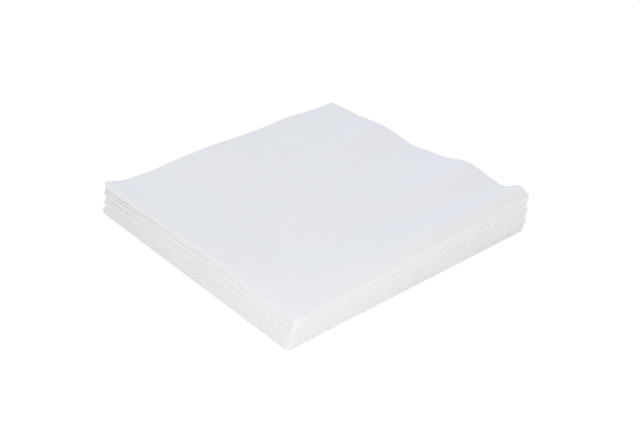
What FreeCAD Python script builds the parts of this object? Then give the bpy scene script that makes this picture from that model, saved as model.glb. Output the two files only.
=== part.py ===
"""Stack of quarter-folded white paper napkins, lying flat, each napkin one folded sheet.

Millimetres, +Z up. The origin is the middle of the stack's footprint, on the surface it rests on.
The corner at -X -Y is the closed one, where both folds meet. The first fold runs along Y at -X and
shows two bends for each napkin. The second fold runs along X at -Y and wraps both of them in one
bend. The sides at +X and +Y are open edges of four layers.
"""
import FreeCAD
import Part
import math
import os

# The napkin
SIDE = 165.0            # a 330 mm square sheet, folded twice
SHEET = 0.2             # two plies of tissue
CLEARANCE = 0.16        # air between one napkin and the next
COUNT = 10
BEND_STEPS = 4          # flats that round each half-turn bend

# How high the stack stands at its corners once it has settled, before its waves
NEAR_HEIGHT = 17.2      # both folds meet here and pinch the layers
LEFT_HEIGHT = 16.4
RIGHT_HEIGHT = 19.4
BACK_HEIGHT = 12.6      # no fold here, so the napkins lie closest

# The lowest napkins are pressed flat: they share these corner heights of a stack with no waves
PRESSED = 4
PRESSED_NEAR = 14.8
PRESSED_LEFT = 13.4
PRESSED_RIGHT = 15.4
WAVE_GROWTH = 1.3       # how late, on the way up, the napkins leave that even spacing

# Each napkin lies a little further over than the one below it
LEAN_X = 2.0
LEAN_Y = -1.2
TWIST_DEG = 0.7
# The closed corners are lined up, and the open ones stray: by turning, and by how the folds came out
TURNING = 0.15
SLACK_X = 0.7
SLACK_Y = 1.0
SKEW = 2.5              # the sheets aren't quite square: how much further the open corner reaches

# The folded side at -Y stands up as a soft roll: middle and reach along Y, height at +X
ROLL = (-75.5, 8.0, 5.5)
ROLL_SPREAD = 26.0      # how much further its inner side reaches at the closed corner
# Waves on the +X side: middle and reach along Y, height at the edge, how far in they reach
CREST = (-37.0, 15.0, 4.8, 75.0)
DIP = (10.0, 11.0, -1.9, 50.0)
SWELL = (36.0, 15.0, 1.6, 60.0)
# The same on the -X side, where the first fold springs open
BULGE = (-2.0, 50.0, 3.9, 45.0)
HOLLOW = (-60.0, 13.0, -1.1, 40.0)
# On the +Y side: middle and reach along X, height at the edge, how far in
RIPPLE = (-10.0, 34.0, 1.9, 55.0)
LIP = (49.0, 14.0, 1.4, 35.0)
# The top napkin's loose corner at -X +Y: rise of its underside and of its top, reach along X and Y
LIFT = (0.4, 5.0, 26.0, 85.0)
LIFT_IN = 0.5           # how far that corner is drawn in as it curls up
UNDERCUT = 1.0          # how much further in its second layer lies there

# Where the layers are creased by those waves, from the open edge to the fold
ROWS = (82.5, 60.0, 38.0, 12.0, -14.0, -37.0, -50.0, -58.0, -64.0, -69.0, -75.5, -79.5)
COLUMNS = (82.5, 50.0, 20.0, -22.0, -60.0)
FLAT = (82.5,)          # the pressed napkins need no creases

HALF = SIDE / 2
MEAN_HEIGHT = (NEAR_HEIGHT + LEFT_HEIGHT + RIGHT_HEIGHT + BACK_HEIGHT) / 4
BEND_PITCH = (MEAN_HEIGHT / COUNT - CLEARANCE - SHEET) / 3    # layer to layer, where the folds are


def hump(distance, reach):
    """A smooth bump that is 1 in its middle and fades out with distance."""
    return math.exp(-(distance / reach) ** 2)


def fade(share):
    """1 at an edge, easing to 0 where share of the reach is 1."""
    left = min(1.0, max(0.0, 1 - share))
    return left * left * (3 - 2 * left)


def settled_height(x, y):
    """Height of the stack's top at a point, from its corners alone."""
    u = x / SIDE + 0.5
    v = y / SIDE + 0.5
    front = NEAR_HEIGHT * (1 - u) + RIGHT_HEIGHT * u
    rear = LEFT_HEIGHT * (1 - u) + BACK_HEIGHT * u
    return front * (1 - v) + rear * v


def pressed_height(x, y):
    """The same for a stack of napkins all pressed flat, which is a plane."""
    u = x / SIDE + 0.5
    v = y / SIDE + 0.5
    return PRESSED_NEAR + (PRESSED_RIGHT - PRESSED_NEAR) * u + (PRESSED_LEFT - PRESSED_NEAR) * v


def wave_height(x, y):
    """What the roll and the waves add to the height of the top."""
    middle, reach, height = ROLL
    u = min(1.0, max(0.0, x / SIDE + 0.5))
    if y > middle:
        reach += ROLL_SPREAD * (1 - u)
    total = height * hump(y - middle, reach) * math.sqrt(u)
    for middle, reach, height, depth in (CREST, DIP, SWELL):
        total += height * hump(y - middle, reach) * fade((HALF - x) / depth)
    for middle, reach, height, depth in (BULGE, HOLLOW):
        total += height * hump(y - middle, reach) * fade((HALF + x) / depth)
    for middle, reach, height, depth in (RIPPLE, LIP):
        total += height * hump(x - middle, reach) * fade((HALF - y) / depth)
    return total


def level(number, x, y):
    """Height of the underside of napkin `number`, counted from 0."""
    flat = pressed_height(x, y)
    free = max(0, number - PRESSED) / (COUNT - PRESSED)
    uneven = settled_height(x, y) + wave_height(x, y) - flat
    return flat * number / COUNT + uneven * free**WAVE_GROWTH


def corner_lift(rise, x, y):
    """How far the top napkin's loose corner stands off the one below."""
    away = math.hypot((x + HALF) / LIFT[2], (y - HALF) / LIFT[3])
    return rise * max(0.0, 1 - away) ** 2


def fold_path(flats, centre, radius):
    """Points across one fold, from the open edge round the bend and back to the open edge.

    Each is (place along the layer, turn), where turn goes from 1 on the first leg through 0 in the
    middle of the bend to -1 on the second leg.
    """
    path = [(place, 1.0) for place in flats]
    for step in range(BEND_STEPS + 1):
        angle = math.pi * step / BEND_STEPS
        path.append((centre - radius * math.sin(angle), math.cos(angle)))
    path += [(place, -1.0) for place in reversed(flats)]
    return path


def skin_grid(columns, rows, skin):
    """One side of the folded sheet, as lines of (x, y, layer, lean); skin is +1 or -1.

    layer is the height above the napkin's middle in layer pitches: the four layers lie at -1.5,
    -0.5, 0.5 and 1.5. lean is the height in half sheets on top of that.
    """
    x_centre = -HALF + BEND_PITCH / 2 + SHEET / 2
    y_centre = -HALF + 1.5 * BEND_PITCH + SHEET / 2
    grid = []
    for x, turn_x in fold_path(columns, x_centre, BEND_PITCH / 2 + skin * SHEET / 2):
        layer = 1 + 0.5 * turn_x
        lean = skin * turn_x
        from_axis = layer * BEND_PITCH + lean * SHEET / 2
        path = fold_path(rows, y_centre, from_axis)
        grid.append([(x, y, layer * turn_y, lean * turn_y) for y, turn_y in path])
    return grid


def in_the_stack(number, x, y):
    """Where a point of the napkin's outline comes to lie: the stack's lean and the napkin's own stray."""
    share = number / (COUNT - 1)
    twist = math.radians(TWIST_DEG) * share
    turning = TURNING * math.sin(0.9 * number + 0.5)
    u = x / SIDE + 0.5
    v = y / SIDE + 0.5
    moved_x = x + LEAN_X * share - twist * y - turning * v + SLACK_X * math.sin(2.4 * number) * u
    moved_y = y + LEAN_Y * share + twist * x + turning * u + SLACK_Y * math.sin(1.6 * number + 0.3) * v
    return moved_x + SKEW * u * v, moved_y


def outline_point(number, x, y):
    """The same for any point; points well inside stay on the common grid."""
    near_edge_x = hump(HALF - abs(x), 9.0)
    near_edge_y = hump(HALF - abs(y), 5.0)
    moved_x, moved_y = in_the_stack(number, x, y)
    return x + near_edge_x * (moved_x - x), y + near_edge_y * (moved_y - y)


def footprint_centre():
    """Middle of the box round every napkin's outline, which becomes the origin."""
    corners = [outline_point(number, x, y)
               for number in range(COUNT) for x in (-HALF, HALF) for y in (-HALF, HALF)]
    xs = [x for x, _ in corners]
    ys = [y for _, y in corners]
    return (min(xs) + max(xs)) / 2, (min(ys) + max(ys)) / 2


def lay_down(number, point, centre):
    """A folded sheet's point, once the napkin lies in its place in the stack."""
    x, y, layer, lean = point
    x, y = outline_point(number, x, y)
    bottom = level(number, x, y)
    top = level(number + 1, x, y) - CLEARANCE
    if number == COUNT - 1:
        bottom += corner_lift(LIFT[0], x, y)
        top += corner_lift(LIFT[1], x, y)
        inner_layer = UNDERCUT if 0 < layer < 1 else 0.0
        x += corner_lift(LIFT_IN + inner_layer, x, y)
    pitch = (top - bottom - SHEET) / 3
    z = (bottom + top) / 2 + layer * pitch + lean * SHEET / 2
    return FreeCAD.Vector(x - centre[0], y - centre[1], z)


def quad(a, b, c, d, flipped):
    """Two triangles; seen from above the cut runs the same way on every layer, so that they nest."""
    if flipped:
        return [(a, b, d), (b, c, d)]
    return [(a, b, c), (a, c, d)]


def napkin(number, centre):
    """One folded sheet: its two skins, closed along its four cut edges."""
    columns = FLAT if number < PRESSED else COLUMNS
    rows = FLAT if number < PRESSED else ROWS
    grids = [skin_grid(columns, rows, 1), skin_grid(columns, rows, -1)]
    across = len(grids[0])
    along = len(grids[0][0])
    points = []
    for grid in grids:
        points += [lay_down(number, point, centre) for line in grid for point in line]

    def index(side, i, j):
        return (side * across + i) * along + j

    triangles = []
    for i in range(across - 1):
        for j in range(along - 1):
            second_leg = (i >= across // 2) != (j >= along // 2)
            triangles += quad(index(0, i, j), index(0, i + 1, j),
                              index(0, i + 1, j + 1), index(0, i, j + 1), second_leg)
            triangles += quad(index(1, i, j + 1), index(1, i + 1, j + 1),
                              index(1, i + 1, j), index(1, i, j), not second_leg)
    rim = [(i, 0) for i in range(across - 1)]
    rim += [(across - 1, j) for j in range(along - 1)]
    rim += [(i, along - 1) for i in range(across - 1, 0, -1)]
    rim += [(0, j) for j in range(along - 1, 0, -1)]
    for (i, j), (m, n) in zip(rim, rim[1:] + rim[:1]):
        triangles += quad(index(0, i, j), index(1, i, j), index(1, m, n), index(0, m, n), False)

    shell = Part.Shape()
    shell.makeShapeFromMesh((points, triangles), 1e-4)
    solid = Part.Solid(Part.Shell(shell.Faces)).removeSplitter()
    if solid.Volume < 0:
        solid.reverse()
    return solid


def main():
    os.makedirs("parts", exist_ok=True)
    centre = footprint_centre()
    for number in range(COUNT):
        solid = napkin(number, centre)
        box = solid.BoundBox
        name = f"napkin_{number + 1:02d}"
        solid.exportStep(f"parts/{name}.step")
        print(f"{name}: valid {solid.isValid()}, {len(solid.Faces)} faces, {solid.Volume:.0f} mm3, "
              f"z {box.ZMin:.3f} to {box.ZMax:.3f}")


main()
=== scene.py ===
# %% [markdown]
# # A stack of paper napkins
# Ten white napkins lie one on another. Each is a square sheet of soft two-ply tissue that was folded
# in half twice. This lesson folds a flat grid of points the way a napkin is folded, lays the folded
# sheets on each other in a settled, wavy stack, and gives them the look of tissue.
#
# The solids of the stack are loaded first. They fix every size and place, so nothing below has to be
# fitted: each sheet is built on the spot of the solid that it stands for.

# %% Load the frame
import bpy
import math
from mathutils import Euler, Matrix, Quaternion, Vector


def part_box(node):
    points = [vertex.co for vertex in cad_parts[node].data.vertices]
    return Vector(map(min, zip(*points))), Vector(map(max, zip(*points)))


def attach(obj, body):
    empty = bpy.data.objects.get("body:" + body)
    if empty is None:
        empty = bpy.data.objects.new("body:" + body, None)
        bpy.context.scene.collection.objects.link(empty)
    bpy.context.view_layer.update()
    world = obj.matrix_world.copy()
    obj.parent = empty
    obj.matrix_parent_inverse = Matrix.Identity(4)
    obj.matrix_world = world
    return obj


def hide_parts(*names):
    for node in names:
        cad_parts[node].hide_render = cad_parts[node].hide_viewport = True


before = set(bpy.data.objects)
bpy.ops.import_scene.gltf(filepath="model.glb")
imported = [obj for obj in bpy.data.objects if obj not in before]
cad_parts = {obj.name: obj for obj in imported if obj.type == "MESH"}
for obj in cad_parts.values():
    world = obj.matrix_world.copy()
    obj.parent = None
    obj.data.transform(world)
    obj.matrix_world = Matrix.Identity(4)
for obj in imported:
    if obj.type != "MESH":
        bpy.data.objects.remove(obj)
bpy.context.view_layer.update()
napkin_nodes = sorted(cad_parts)

# %% [markdown]
# ## The sizes
# A napkin is 330 mm square, so a quarter of it is 165 mm. Blender works in metres, and `MM` keeps the
# numbers readable. A stack is thick where the folds are and thin at the opposite, open corner, so its
# four corners have their own heights. The lowest napkins are pressed flat by the others. A folded
# napkin has four layers, and so three steps from one layer to the next.

# %% Sizes of the sheet and of the stack
MM = 0.001
COUNT = len(napkin_nodes)
SIDE = 165 * MM
HALF = SIDE / 2
SHEET = 0.2 * MM
CLEARANCE = 0.05 * MM

NEAR_HEIGHT = 17.2 * MM
LEFT_HEIGHT = 16.4 * MM
RIGHT_HEIGHT = 19.4 * MM
BACK_HEIGHT = 12.6 * MM
MEAN_HEIGHT = (NEAR_HEIGHT + LEFT_HEIGHT + RIGHT_HEIGHT + BACK_HEIGHT) / 4
LAYER_STEPS = 3.0
BEND_PITCH = (MEAN_HEIGHT / COUNT - CLEARANCE - SHEET) / LAYER_STEPS
CORNER_ROUND = 1 * MM

PRESSED = 4
PRESSED_NEAR = 14.8 * MM
PRESSED_LEFT = 13.4 * MM
PRESSED_RIGHT = 15.4 * MM
WAVE_GROWTH = 1.3

LEAN_X = 2.0 * MM
LEAN_Y = -1.2 * MM
TWIST = math.radians(0.7)
TURNING = 0.15 * MM
SLACK_X = 0.7 * MM
SLACK_Y = 1.0 * MM
SKEW = 2.5 * MM
print(f"layers of one napkin lie {BEND_PITCH / MM:.2f} mm apart at its folds")

# %% [markdown]
# ## The waves
# Soft tissue doesn't stay flat. The folded side at -Y stands up as a long roll, and its far end
# ripples. Each wave is a smooth hump: where its middle is, how far it reaches to each side, how high
# it is at the stack's edge, and how far in from that edge it dies out.
#
# The top napkin's left corner is loose and curls up. Its top rises by `LIFT_OVER` and its underside by
# `LIFT_UNDER`. It is drawn in by `LIFT_IN`, and its second layer by `UNDERCUT` more. `LIFT_ALONG_X` and
# `LIFT_ALONG_Y` say how far from the corner the curl dies out.

# %% Waves of the top
ROLL = (-75.5 * MM, 8 * MM, 5.5 * MM)
ROLL_SPREAD = 26 * MM
RIGHT_WAVES = (
    (-37 * MM, 15 * MM, 4.8 * MM, 75 * MM),
    (10 * MM, 11 * MM, -1.9 * MM, 50 * MM),
    (36 * MM, 15 * MM, 1.6 * MM, 60 * MM),
)
LEFT_WAVES = (
    (-2 * MM, 50 * MM, 3.9 * MM, 45 * MM),
    (-60 * MM, 13 * MM, -1.1 * MM, 40 * MM),
)
BACK_WAVES = (
    (-10 * MM, 34 * MM, 1.9 * MM, 55 * MM),
    (49 * MM, 14 * MM, 1.4 * MM, 35 * MM),
)
LIFT_UNDER = 0.05 * MM
LIFT_OVER = 5 * MM
LIFT_IN = 0.5 * MM
UNDERCUT = 0.1 * MM
LIFT_ALONG_X = 26 * MM
LIFT_ALONG_Y = 85 * MM

# %% [markdown]
# ## Formulas as nodes
# Both the fold and the tissue's grain are formulas. In a node tree every plus and times is a Math
# node, which is slow to write and hard to read. This small class wraps a socket, so that
# `a * 2 + b` makes those nodes by itself. It serves geometry and shader trees alike.

# %% A value in a node tree, and what is built from it
NOISE_MIDDLE = 0.5
NOISE_GAIN = 3.0


class Field:
    """A value that varies over a mesh: one output socket, to be combined with + - * / and numbers."""

    def __init__(self, tree, socket):
        self.tree = tree
        self.socket = socket

    def math(self, operation, *values):
        node = self.tree.nodes.new("ShaderNodeMath")
        node.operation = operation
        for slot, value in zip(node.inputs, values):
            plug(self.tree, value, slot)
        return Field(self.tree, node.outputs[0])

    def __add__(self, other):
        return self.math("ADD", self, other)

    def __sub__(self, other):
        return self.math("SUBTRACT", self, other)

    def __rsub__(self, other):
        return self.math("SUBTRACT", other, self)

    def __mul__(self, other):
        return self.math("MULTIPLY", self, other)

    def __truediv__(self, other):
        return self.math("DIVIDE", self, other)

    def __pow__(self, other):
        return self.math("POWER", self, other)

    __radd__ = __add__
    __rmul__ = __mul__

    def sin(self):
        return self.math("SINE", self)

    def cos(self):
        return self.math("COSINE", self)

    def exp(self):
        return self.math("EXPONENT", self)

    def at_least(self, other):
        return self.math("MAXIMUM", self, other)

    def at_most(self, other):
        return self.math("MINIMUM", self, other)

    def share(self):
        """The value held between 0 and 1."""
        return self.at_least(0.0).at_most(1.0)


def plug(tree, value, slot):
    """Feeds a Field or a plain number into a node's input."""
    if isinstance(value, Field):
        tree.links.new(value.socket, slot)
    else:
        slot.default_value = value


def new_tree(name, kind, inputs, outputs):
    """An empty node group and its inputs as Fields, by name; kind is Geometry or Shader."""
    tree = bpy.data.node_groups.new(name, kind + "NodeTree")
    for label, socket in inputs.items():
        tree.interface.new_socket(label, in_out="INPUT", socket_type="NodeSocket" + socket)
    for label, socket in outputs.items():
        tree.interface.new_socket(label, in_out="OUTPUT", socket_type="NodeSocket" + socket)
    entry = tree.nodes.new("NodeGroupInput")
    exit_node = tree.nodes.new("NodeGroupOutput")
    fields = {label: Field(tree, entry.outputs[label]) for label in inputs}
    return tree, fields, exit_node


def vector(tree, x, y, z):
    """Three values as one vector."""
    node = tree.nodes.new("ShaderNodeCombineXYZ")
    for slot, value in zip(node.inputs, (x, y, z)):
        plug(tree, value, slot)
    return Field(tree, node.outputs[0])


def noise(tree, x, y, pattern, size, detail=1.0):
    """Soft random variation around 0, mostly within -1 and 1, with lumps about `size` across.

    x and y are places in metres. `pattern` is any number, and another one gives other lumps.
    """
    node = tree.nodes.new("ShaderNodeTexNoise")
    node.inputs["Scale"].default_value = 1.0
    node.inputs["Detail"].default_value = detail
    plug(tree, vector(tree, x / size, y / size, pattern), node.inputs["Vector"])
    return (Field(tree, node.outputs[0]) - NOISE_MIDDLE) * NOISE_GAIN


# %% [markdown]
# ## The height of each napkin
# Think of the stack as a pile of surfaces, one between each two napkins. Surface 0 is the table and
# surface 10 is the top. The low ones are plain slopes. Higher up they take on more and more of the
# waves. A napkin fills the room between two of these surfaces, less a little clearance. So neighbours
# nest, however soft the landscape is, as closely as their triangles follow the surfaces.
#
# Two kinds of small unevenness come on top. `PUFF` has other lumps on each surface and shows where the
# folded sides spring open. `RUMPLE` is one pattern that grows towards the top. A number whose name
# ends in `CHANGE`, `HALVES`, `OTHER_WAY`, `BY_LAYER` or `PATTERN` only picks the lumps of a noise.

# %% Height of the surface between two napkins
PUFF = 0.26 * MM
PUFF_SIZE = 34 * MM
PUFF_REACH = 50 * MM
PUFF_CHANGE = 3.7
RUMPLE = 0.22 * MM
RUMPLE_SIZE = 21 * MM
RUMPLE_PATTERN = 40.0


def hump(distance, reach):
    """1 in the middle of a wave, fading out smoothly to its sides."""
    return ((distance / reach) ** 2.0 * -1.0).exp()


def fade(share):
    """1 at an edge, easing to 0 where share reaches 1."""
    left = (1.0 - share).share()
    return left * left * (3.0 - 2.0 * left)


def corner_blend(near, left, right, back, u, v):
    """A height that runs between the stack's four corners."""
    front = u * (right - near) + near
    rear = u * (back - left) + left
    return front * (1.0 - v) + rear * v


def wave_field(x, y, u):
    """What the roll and the waves add to the height of the top."""
    middle, reach, height = ROLL
    # The roll's outer side is as steep all along; its inner side flattens towards the closed corner.
    inner_side = y.math("GREATER_THAN", y, middle)
    spread = (1.0 - u.share()) * inner_side * ROLL_SPREAD
    total = hump(y - middle, spread + reach) * u.share() ** 0.5 * height
    for middle, reach, height, depth in RIGHT_WAVES:
        total = total + hump(y - middle, reach) * fade((HALF - x) / depth) * height
    for middle, reach, height, depth in LEFT_WAVES:
        total = total + hump(y - middle, reach) * fade((x + HALF) / depth) * height
    for middle, reach, height, depth in BACK_WAVES:
        total = total + hump(x - middle, reach) * fade((HALF - y) / depth) * height
    return total


def make_level_group():
    """The group that gives the height of surface Number at X, Y."""
    inputs = {"X": "Float", "Y": "Float", "Number": "Float"}
    tree, given, out = new_tree("stack_level", "Geometry", inputs, {"Height": "Float"})
    x = given["X"]
    y = given["Y"]
    number = given["Number"]
    u = x / SIDE + 0.5
    v = y / SIDE + 0.5
    pressed_back = PRESSED_LEFT + PRESSED_RIGHT - PRESSED_NEAR
    pressed = corner_blend(PRESSED_NEAR, PRESSED_LEFT, PRESSED_RIGHT, pressed_back, u, v)
    settled = corner_blend(NEAR_HEIGHT, LEFT_HEIGHT, RIGHT_HEIGHT, BACK_HEIGHT, u, v)
    free = ((number - PRESSED) / (COUNT - PRESSED)).share() ** WAVE_GROWTH
    uneven = settled + wave_field(x, y, u) - pressed
    # The folded sides are springy, so each napkin puffs up there in its own pattern.
    springy = fade((x + HALF) / PUFF_REACH) + fade((y + HALF) / PUFF_REACH)
    lifted = number.at_most(1.0)
    puff = noise(tree, x, y, number * PUFF_CHANGE, PUFF_SIZE) * springy.share() * lifted * PUFF
    rumple = noise(tree, x, y, RUMPLE_PATTERN, RUMPLE_SIZE, detail=2.0) * free * RUMPLE
    plug(tree, pressed * number / COUNT + uneven * free + puff + rumple, out.inputs[0])
    return tree


level_group = make_level_group()
print("nodes in the height formula:", len(level_group.nodes))

# %% [markdown]
# ## Where each napkin lies
# Each napkin lies a little further over than the one below it: `LEAN_X`, `LEAN_Y` and `TWIST` are
# what the top one has gained. Whoever stacked them lined up the closed corners, so the scatter of
# `TURNING`, `SLACK_X` and `SLACK_Y` grows from there towards the open ones. The sheets aren't cut
# quite square, and `SKEW` is how much further their open corner reaches.

# %% Where each napkin lies
def scatter(number, step, start):
    """A value between -1 and 1 that jumps about from napkin to napkin: a sine read at wide steps."""
    return math.sin(step * number + start)


def lie_of(number):
    """How a napkin lies: the stack's lean and twist, and its own turning and slack."""
    share = number / (COUNT - 1)
    return {
        "Shift X": LEAN_X * share, "Shift Y": LEAN_Y * share, "Twist": TWIST * share,
        "Turning": TURNING * scatter(number, step=0.9, start=0.5),
        "Slack X": SLACK_X * scatter(number, step=2.4, start=0.0),
        "Slack Y": SLACK_Y * scatter(number, step=1.6, start=0.3),
    }


def in_the_stack(lie, x, y):
    """Where a point of a square napkin comes to lie; it serves plain numbers and Fields alike."""
    u = x / SIDE + 0.5
    v = y / SIDE + 0.5
    moved_x = x + lie["Shift X"] - y * lie["Twist"] - v * lie["Turning"] + u * lie["Slack X"]
    moved_y = y + lie["Shift Y"] + x * lie["Twist"] + u * lie["Turning"] + v * lie["Slack Y"]
    return moved_x + u * v * SKEW, moved_y


def footprint_centre():
    """Middle of the box round every napkin's outline, which is the frame's origin."""
    xs = []
    ys = []
    for number in range(COUNT):
        for x in (-HALF, HALF):
            for y in (-HALF, HALF):
                moved_x, moved_y = in_the_stack(lie_of(number), x, y)
                xs.append(moved_x)
                ys.append(moved_y)
    return (min(xs) + max(xs)) / 2, (min(ys) + max(ys)) / 2


centre = footprint_centre()
print("middle of the footprint in mm:", [round(c / MM, 3) for c in centre])

# %% [markdown]
# ## Folding a sheet
# A fold turns one layer into two that are joined by a half-turn bend. Walking across the sheet, a
# point is first on one leg, then in the bend, then on the way back on the other leg. `fold` gives
# for each point its place along the layer and a number that turns from 1 through 0 to -1 like the
# cosine of the bend's angle. Folding twice gives four layers, and their bends nest in each other.
# Geometry Nodes suit this well, because the whole sheet follows one rule.
#
# The four layers lie at -1.5, -0.5, 0.5 and 1.5 pitches from the napkin's middle. Then the two inner
# ones move together, to `INNER_LAYER`, and flutter by a share `LAYER_PLAY` of the room. `GRADING`
# draws the grid's points towards the ends of a leg, and `BOXY` flattens the bends, which a stack
# presses nearly square: 1 would leave them round. The fold lines wander by `WANDER` near the closed
# corner and by `WANDER_OPEN` at the open one, and `OPEN_BY_X` weighs the two ways towards it.

# %% The folding tree
GRADING = 0.45
BOXY = 0.24
WANDER = 0.05 * MM
WANDER_OPEN = 0.6 * MM
WANDER_SIZE = 46 * MM
WANDER_CHANGE = 5.3
WANDER_HALVES = 0.7
WANDER_OTHER_WAY = 31.0
OPEN_BY_X = 0.3
OUTER_LAYER = 1.5
EVEN_LAYER = 0.5
INNER_LAYER = 0.22
LAYER_PLAY = 0.42
PLAY_CHANGE = 9.0
PLAY_BY_LAYER = 2.1
TINY = 1e-6


def graded(share):
    """Shifts points towards both ends of a leg, where the shape turns."""
    return share - (share * (2 * math.pi)).sin() * (GRADING / (2 * math.pi))


def fold(step, flat_cells, bend_cells, open_edge, centre, radius):
    """Place along the layer, turn from 1 to -1, and the length walked over the flat sheet."""
    first = (step / flat_cells).share()
    bend = ((step - flat_cells) / bend_cells).share()
    second = ((step - flat_cells - bend_cells) / flat_cells).share()
    angle = bend * math.pi
    leg = open_edge - centre
    place = open_edge - leg * graded(first - second) - radius * angle.sin() ** BOXY
    walked = leg * (graded(first) + 1.0 - graded(1.0 - second)) + bend * (math.pi * BEND_PITCH)
    return place, angle.cos(), walked


def level_at(tree, x, y, number):
    """Uses the height group inside another tree."""
    node = tree.nodes.new("GeometryNodeGroup")
    node.node_tree = level_group
    for label, value in (("X", x), ("Y", y), ("Number", number)):
        plug(tree, value, node.inputs[label])
    return Field(tree, node.outputs[0])


def make_fold_tree():
    """The tree that makes one folded napkin, as a surface along the middle of the tissue."""
    inputs = {
        "Number": "Float", "Shift X": "Float", "Shift Y": "Float", "Twist": "Float",
        "Turning": "Float", "Slack X": "Float", "Slack Y": "Float",
        "Centre X": "Float", "Centre Y": "Float", "Uneven X": "Float", "Uneven Y": "Float",
        "Top Lift": "Float", "Sag": "Float",
        "Flat Cells": "Int", "Bend Cells": "Int", "Tissue": "Material",
    }
    tree, given, out = new_tree("fold_napkin", "Geometry", inputs, {"Napkin": "Geometry"})
    number = given["Number"]
    flat_cells = given["Flat Cells"]
    bend_cells = given["Bend Cells"]

    grid = tree.nodes.new("GeometryNodeMeshGrid")
    cells = flat_cells * 2.0 + bend_cells
    for slot in ("Vertices X", "Vertices Y"):
        plug(tree, cells + 1.0, grid.inputs[slot])
    position = Field(tree, tree.nodes.new("GeometryNodeInputPosition").outputs[0])
    split = tree.nodes.new("ShaderNodeSeparateXYZ")
    plug(tree, position, split.inputs[0])
    # The grid is 1 wide and lies around its middle, so this counts its cells from the edge.
    step_x = (Field(tree, split.outputs[0]) + 0.5) * cells
    step_y = (Field(tree, split.outputs[1]) + 0.5) * cells

    x_centre = -HALF + BEND_PITCH / 2 + SHEET / 2
    y_centre = -HALF + OUTER_LAYER * BEND_PITCH + SHEET / 2
    # The two halves of a sheet never meet exactly, so each leg ends a little further out or in.
    side_x = 1.0 - (step_x / cells) * 2.0
    side_y = 1.0 - (step_y / cells) * 2.0
    edge_x = side_x * given["Uneven X"] + HALF
    edge_y = side_y * given["Uneven Y"] + HALF
    x, turn_x, walked_x = fold(step_x, flat_cells, bend_cells, edge_x, x_centre, BEND_PITCH / 2)
    across = turn_x * 0.5 + 1.0
    y, turn_y, walked_y = fold(step_y, flat_cells, bend_cells, edge_y, y_centre, across * BEND_PITCH)
    layer = across * turn_y

    # Where both folds meet, the thick corner can't be sharp: a square there turns into a round.
    past_x = (CORNER_ROUND - HALF - x).at_least(TINY)
    past_y = (CORNER_ROUND - HALF - y).at_least(TINY)
    longer = past_x.at_least(past_y)
    squeeze = 1.0 - longer / (past_x * past_x + past_y * past_y) ** 0.5
    x = x + past_x * squeeze
    y = y + past_y * squeeze

    # Fold lines and cut edges aren't ruled: they wander a little, each napkin in its own way.
    pattern = number * WANDER_CHANGE + turn_y * WANDER_HALVES
    open_x = x / SIDE + 0.5
    open_y = y / SIDE + 0.5
    open_share = open_x * OPEN_BY_X + open_y * (1 - OPEN_BY_X)
    loose_x = open_share * (WANDER_OPEN - WANDER) + WANDER
    loose_y = open_y * (WANDER_OPEN - WANDER) + WANDER
    wander_x = noise(tree, x, y, pattern, WANDER_SIZE, detail=2.0) * loose_x
    wander_y = noise(tree, x, y, pattern + WANDER_OTHER_WAY, WANDER_SIZE, detail=2.0) * loose_y
    turned_x, turned_y = in_the_stack(given, x + wander_x, y + wander_y)
    # The side at -X leans back, and a napkin's own layers share the step over to the next napkin, so
    # that the side runs smoothly. The side at -Y leans out over the floor, and its steps stay.
    step_over = layer / (LAYER_STEPS * (COUNT - 1))
    turned_x = turned_x + step_over * (LEAN_X - y * TWIST)

    away_x = (turned_x + HALF) / LIFT_ALONG_X
    away_y = (turned_y - HALF) / LIFT_ALONG_Y
    away = (away_x ** 2.0 + away_y ** 2.0) ** 0.5
    loose = (1.0 - away).share() ** 2.0 * given["Top Lift"]

    # The two layers in the middle of a napkin touch, which leaves the bends outside them more room.
    far_in = (OUTER_LAYER - layer.math("ABSOLUTE", layer)).share()
    apart = INNER_LAYER - loose * (INNER_LAYER / 2)
    layer = layer * (1.0 - far_in * (1.0 - apart * 2.0))
    layer = layer - given["Sag"] * (1.0 - (layer / OUTER_LAYER) ** 2.0)
    # As the loose corner curls up it is drawn in, and its second layer slides in further.
    second = (OUTER_LAYER - layer).share() * (turn_y * 0.5 + 0.5)
    turned_x = turned_x + loose * (second * UNDERCUT + LIFT_IN)
    bottom = level_at(tree, turned_x, turned_y, number) + loose * LIFT_UNDER
    top = level_at(tree, turned_x, turned_y, number + 1.0) - CLEARANCE + loose * LIFT_OVER
    pitch = (top - bottom - SHEET) / LAYER_STEPS
    # The outer layers keep to their surfaces, and only the inner ones flutter.
    play = (pitch - SHEET) * LAYER_PLAY * 0.5
    inner = fade((layer * layer - EVEN_LAYER ** 2) / (OUTER_LAYER ** 2 - EVEN_LAYER ** 2))
    pattern = layer * PLAY_BY_LAYER + number * PLAY_CHANGE
    flutter = noise(tree, turned_x, turned_y, pattern, RUMPLE_SIZE) * play * inner
    height = (bottom + top) * 0.5 + layer * pitch + flutter

    shape = tree.nodes.new("GeometryNodeSetPosition")
    placed = vector(tree, turned_x - given["Centre X"], turned_y - given["Centre Y"], height)
    plug(tree, placed, shape.inputs["Position"])

    flat_map = tree.nodes.new("GeometryNodeStoreNamedAttribute")
    flat_map.data_type = "FLOAT2"
    flat_map.domain = "CORNER"
    flat_map.inputs["Name"].default_value = "flat_sheet"
    capture = tree.nodes.new("GeometryNodeCaptureAttribute")
    capture.domain = "POINT"
    capture.capture_items.new("VECTOR", "walked")
    tree.links.new(grid.outputs["Mesh"], capture.inputs["Geometry"])
    plug(tree, vector(tree, walked_x, walked_y, 0.0), capture.inputs[1])
    tree.links.new(capture.outputs["Geometry"], shape.inputs["Geometry"])
    tree.links.new(shape.outputs["Geometry"], flat_map.inputs["Geometry"])
    tree.links.new(capture.outputs[1], flat_map.inputs["Value"])

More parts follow.
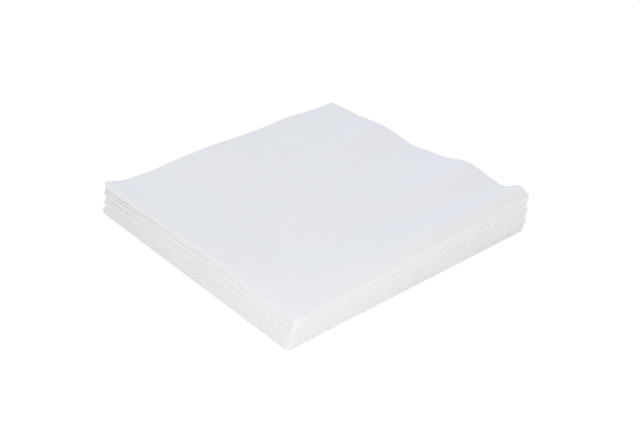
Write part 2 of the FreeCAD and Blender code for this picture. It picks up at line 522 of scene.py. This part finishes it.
    real = tree.nodes.new("GeometryNodeRealizeInstances")
    paint = tree.nodes.new("GeometryNodeSetMaterial")
    tree.links.new(flat_map.outputs["Geometry"], real.inputs["Geometry"])
    tree.links.new(real.outputs["Geometry"], paint.inputs["Geometry"])
    plug(tree, given["Tissue"], paint.inputs["Material"])
    tree.links.new(paint.outputs["Geometry"], out.inputs[0])
    return tree


fold_tree = make_fold_tree()
print("nodes in the folding tree:", len(fold_tree.nodes))

# %% [markdown]
# ## The tissue
# Tissue is matt and very white, with hardly any shine. Close up it has fine crepe lines, left by the
# blade that scrapes it off the drying drum, and a cloud of fibres. The crepe runs one way over the
# flat sheet, so it reads the sheet's own flat map and turns with every fold.

# %% Grain of the tissue
CREPE_STEP = 0.9 * MM
CREPE_LENGTH = 6.0
CREPE_PATTERN = 1.0
FIBRE_SIZE = 0.35 * MM
FIBRE_PATTERN = 7.0
CLOUD_SIZE = 9 * MM
CLOUD_PATTERN = 13.0


def make_grain_group():
    """The group that gives the tissue's fine relief and its faint cloudiness."""
    inputs = {"Flat": "Vector", "Crepe": "Float", "Fibre": "Float"}
    outputs = {"Relief": "Float", "Cloud": "Float"}
    tree, given, out = new_tree("tissue_grain", "Shader", inputs, outputs)
    split = tree.nodes.new("ShaderNodeSeparateXYZ")
    plug(tree, given["Flat"], split.inputs[0])
    along = Field(tree, split.outputs[0])
    across = Field(tree, split.outputs[1])
    crepe = noise(tree, along / CREPE_LENGTH, across, CREPE_PATTERN, CREPE_STEP, detail=3.0)
    fibre = noise(tree, along, across, FIBRE_PATTERN, FIBRE_SIZE, detail=4.0)
    cloud = noise(tree, along, across, CLOUD_PATTERN, CLOUD_SIZE, detail=3.0)
    plug(tree, crepe * given["Crepe"] + fibre * given["Fibre"], out.inputs["Relief"])
    plug(tree, cloud, out.inputs["Cloud"])
    return tree


grain_group = make_grain_group()

# %% White tissue
TISSUE = (0.815, 0.816, 0.822)
THIN_SPOT = 0.975
RELIEF = 0.08 * MM
RELIEF_STRENGTH = 0.6
CREPE_PART = 0.6
FIBRE_PART = 0.4
ROUGHNESS = 0.95
SHINE = 0.1


def make_tissue():
    """The material of every napkin."""
    material = bpy.data.materials.new("white_tissue")
    material.use_nodes = True
    tree = material.node_tree
    body = tree.nodes["Principled BSDF"]
    flat = tree.nodes.new("ShaderNodeUVMap")
    flat.uv_map = "flat_sheet"
    grain = tree.nodes.new("ShaderNodeGroup")
    grain.node_tree = grain_group
    grain.inputs["Crepe"].default_value = CREPE_PART
    grain.inputs["Fibre"].default_value = FIBRE_PART
    tree.links.new(flat.outputs[0], grain.inputs["Flat"])

    bump = tree.nodes.new("ShaderNodeBump")
    bump.inputs["Strength"].default_value = RELIEF_STRENGTH
    bump.inputs["Distance"].default_value = RELIEF
    tree.links.new(grain.outputs["Relief"], bump.inputs["Height"])
    tree.links.new(bump.outputs[0], body.inputs["Normal"])

    tint = tree.nodes.new("ShaderNodeMix")
    tint.data_type = "RGBA"
    tint.inputs["A"].default_value = (*TISSUE, 1)
    tint.inputs["B"].default_value = (*(THIN_SPOT * part for part in TISSUE), 1)
    shade = Field(tree, grain.outputs["Cloud"]) * 0.5 + 0.5
    plug(tree, shade.share(), tint.inputs["Factor"])
    tree.links.new(tint.outputs["Result"], body.inputs["Base Color"])
    body.inputs["Roughness"].default_value = ROUGHNESS
    body.inputs["Specular IOR Level"].default_value = SHINE
    return material


tissue = make_tissue()

# %% [markdown]
# ## Ten napkins
# The folding tree makes the surface of each napkin, Solidify gives the tissue its thickness, and the
# result is kept as a plain mesh that rides with the stack's one body in place of its solid. The
# halves of a sheet end up to `UNEVEN` further out or in, and its inner layers lie up to `SAG` pitches
# higher or lower. The top napkin shows most, so it gets more points.

# %% Make the napkins
FLAT_CELLS = 58
BEND_CELLS = 12
TOP_FLAT_CELLS = 88
UNEVEN = 0.8 * MM
SAG = 0.4
TOP_SAG = 0.68
SHARP_BEND = math.radians(50)


def make_napkin(number, node):
    """One folded napkin as a plain mesh, in the place of its solid."""
    on_top = number == COUNT - 1
    sag = SAG * scatter(number, step=3.7, start=1.0)
    values = {
        **lie_of(number), "Number": float(number),
        "Centre X": centre[0], "Centre Y": centre[1],
        "Uneven X": UNEVEN * scatter(number, step=2.0, start=0.7),
        "Uneven Y": UNEVEN * scatter(number, step=2.9, start=2.0),
        "Top Lift": float(on_top), "Sag": TOP_SAG if on_top else sag,
        "Flat Cells": TOP_FLAT_CELLS if on_top else FLAT_CELLS, "Bend Cells": BEND_CELLS,
        "Tissue": tissue,
    }
    maker = bpy.data.objects.new("maker", bpy.data.meshes.new("maker"))
    bpy.context.scene.collection.objects.link(maker)
    folding = maker.modifiers.new("fold", "NODES")
    folding.node_group = fold_tree
    for item in fold_tree.interface.items_tree:
        if item.in_out == "INPUT":
            folding[item.identifier] = values[item.name]
    thickness = maker.modifiers.new("thickness", "SOLIDIFY")
    thickness.thickness = SHEET
    thickness.offset = 0
    depsgraph = bpy.context.evaluated_depsgraph_get()
    mesh = bpy.data.meshes.new_from_object(maker.evaluated_get(depsgraph))
    bpy.data.objects.remove(maker)
    mesh.polygons.foreach_set("use_smooth", [True] * len(mesh.polygons))
    mesh.set_sharp_from_angle(angle=SHARP_BEND)

    if "flat_sheet" not in mesh.uv_layers:
        raise SystemExit(f"{node} has lost its flat map")
    piece = bpy.data.objects.new("folded_" + node, mesh)
    bpy.context.scene.collection.objects.link(piece)
    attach(piece, "root")
    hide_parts(node)
    return piece


for number, node in enumerate(napkin_nodes):
    piece = make_napkin(number, node)
    points = [vertex.co for vertex in piece.data.vertices]
    low = [min(p[k] for p in points) / MM for k in range(3)]
    high = [max(p[k] for p in points) / MM for k in range(3)]
    solid_low, solid_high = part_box(node)
    print(node, "faces", len(piece.data.polygons),
          "low", [f"{a:.2f} ({b / MM:.2f})" for a, b in zip(low, solid_low)],
          "high", [f"{a:.2f} ({b / MM:.2f})" for a, b in zip(high, solid_high)])

# %% [markdown]
# ## Floor, light and camera
# The stack lies on a white floor in soft, even light. A broad lamp stands close in front of the
# closed corner, so both folded sides are bright there and dim towards the far corners. A larger and
# cooler one, like a window, stands behind the stack and skims over it, which makes the top bluer
# than the sides and draws its waves. The floor stays white to the camera and takes a faint shadow.

# %% Floor
FLOOR_SIZE = 8.0
FLOOR_WHITE = 0.98
FLOOR_GLOW = 1.08
GLOW_SHARE = 0.7


def seen_by_camera(tree):
    """1 for rays from the camera, also by way of a shine or through glass, and 0 for all others."""
    path = tree.nodes.new("ShaderNodeLightPath")
    direct = Field(tree, path.outputs["Is Camera Ray"])
    mirrored = Field(tree, path.outputs["Is Glossy Ray"])
    through = Field(tree, path.outputs["Is Transmission Ray"])
    return (direct + mirrored + through).share()


def make_floor():
    """A white floor that looks white in the picture and keeps the stack's soft shadow."""
    mesh = bpy.data.meshes.new("floor")
    reach = FLOOR_SIZE / 2
    corners = [(-reach, -reach, 0), (reach, -reach, 0), (reach, reach, 0), (-reach, reach, 0)]
    mesh.from_pydata(corners, [], [(0, 1, 2, 3)])
    floor = bpy.data.objects.new("floor", mesh)
    bpy.context.scene.collection.objects.link(floor)
    material = bpy.data.materials.new("white_floor")
    material.use_nodes = True
    tree = material.node_tree
    body = tree.nodes["Principled BSDF"]
    body.inputs["Base Color"].default_value = (FLOOR_WHITE, FLOOR_WHITE, FLOOR_WHITE, 1)
    body.inputs["Roughness"].default_value = 1.0
    body.inputs["Specular IOR Level"].default_value = 0.0
    glow = tree.nodes.new("ShaderNodeEmission")
    glow.inputs["Strength"].default_value = FLOOR_GLOW
    blend = tree.nodes.new("ShaderNodeMixShader")
    plug(tree, seen_by_camera(tree) * GLOW_SHARE, blend.inputs[0])
    tree.links.new(body.outputs[0], blend.inputs[1])
    tree.links.new(glow.outputs[0], blend.inputs[2])
    tree.links.new(blend.outputs[0], tree.nodes["Material Output"].inputs[0])
    mesh.materials.append(material)


make_floor()

# %% Light
KEY_POWER = 3.3
KEY_SIZE = 0.85
KEY_AZIMUTH = math.radians(-41)
KEY_ELEVATION = math.radians(26)
KEY_DISTANCE = 0.8
KEY_COLOR = (1.0, 0.985, 0.97)
WINDOW_POWER = 38
WINDOW_SIZE = 2.6
WINDOW_AZIMUTH = math.radians(160)
WINDOW_ELEVATION = math.radians(35)
WINDOW_DISTANCE = 3
WINDOW_COLOR = (0.85, 0.96, 1.17)
FILL = 0.6


def along(azimuth, elevation):
    """The direction from the stack to something seen at that azimuth and elevation."""
    level = math.cos(elevation)
    return (math.sin(azimuth) * level, -math.cos(azimuth) * level, math.sin(elevation))


def make_lamp(name, power, size, color, azimuth, elevation, distance):
    """One broad soft lamp that faces the stack."""
    lamp = bpy.data.objects.new(name, bpy.data.lights.new(name, "AREA"))
    lamp.data.energy = power
    lamp.data.color = color
    lamp.data.shape = "DISK"
    lamp.data.size = size
    lamp.location = [distance * part for part in along(azimuth, elevation)]
    lamp.rotation_euler = (math.pi / 2 - elevation, 0, azimuth)
    lamp.visible_camera = False
    bpy.context.scene.collection.objects.link(lamp)


def make_surroundings():
    """An even pale room: white to the camera, and a soft fill for the stack."""
    world = bpy.data.worlds.new("pale_room")
    bpy.context.scene.world = world
    world.use_nodes = True
    tree = world.node_tree
    backdrop = tree.nodes["Background"]
    backdrop.inputs["Color"].default_value = (1, 1, 1, 1)
    fill = tree.nodes.new("ShaderNodeBackground")
    fill.inputs["Color"].default_value = (1, 1, 1, 1)
    fill.inputs["Strength"].default_value = FILL
    blend = tree.nodes.new("ShaderNodeMixShader")
    plug(tree, seen_by_camera(tree), blend.inputs[0])
    tree.links.new(fill.outputs[0], blend.inputs[1])
    tree.links.new(backdrop.outputs[0], blend.inputs[2])
    tree.links.new(blend.outputs[0], tree.nodes["World Output"].inputs[0])


make_lamp("softbox", KEY_POWER, KEY_SIZE, KEY_COLOR, KEY_AZIMUTH, KEY_ELEVATION, KEY_DISTANCE)
make_lamp("window", WINDOW_POWER, WINDOW_SIZE, WINDOW_COLOR, WINDOW_AZIMUTH, WINDOW_ELEVATION,
          WINDOW_DISTANCE)
make_surroundings()
bpy.context.scene.view_settings.view_transform = "Standard"

# %% Camera
LENS = 77.85
SENSOR_WIDTH = 36
CLIP_START = 0.01
VIEW_AZIMUTH = math.radians(-39.69)
VIEW_ELEVATION = math.radians(32.27)
VIEW_ROLL = math.radians(-0.39)
VIEW_DISTANCE = 777.1 * MM
AIM = (9.87 * MM - centre[0], 3.6 * MM - centre[1], 0.0)


def make_camera():
    """The photograph's viewing angle: the closed corner points at the viewer."""
    camera = bpy.data.objects.new("camera", bpy.data.cameras.new("camera"))
    camera.data.lens = LENS
    camera.data.sensor_width = SENSOR_WIDTH
    camera.data.clip_start = CLIP_START
    camera.location = [a + VIEW_DISTANCE * part
                       for a, part in zip(AIM, along(VIEW_AZIMUTH, VIEW_ELEVATION))]
    camera.rotation_mode = "QUATERNION"
    upright = Euler((math.pi / 2 - VIEW_ELEVATION, 0, VIEW_AZIMUTH)).to_quaternion()
    camera.rotation_quaternion = upright @ Quaternion((0, 0, 1), VIEW_ROLL)
    bpy.context.scene.collection.objects.link(camera)
    bpy.context.scene.camera = camera


make_camera()
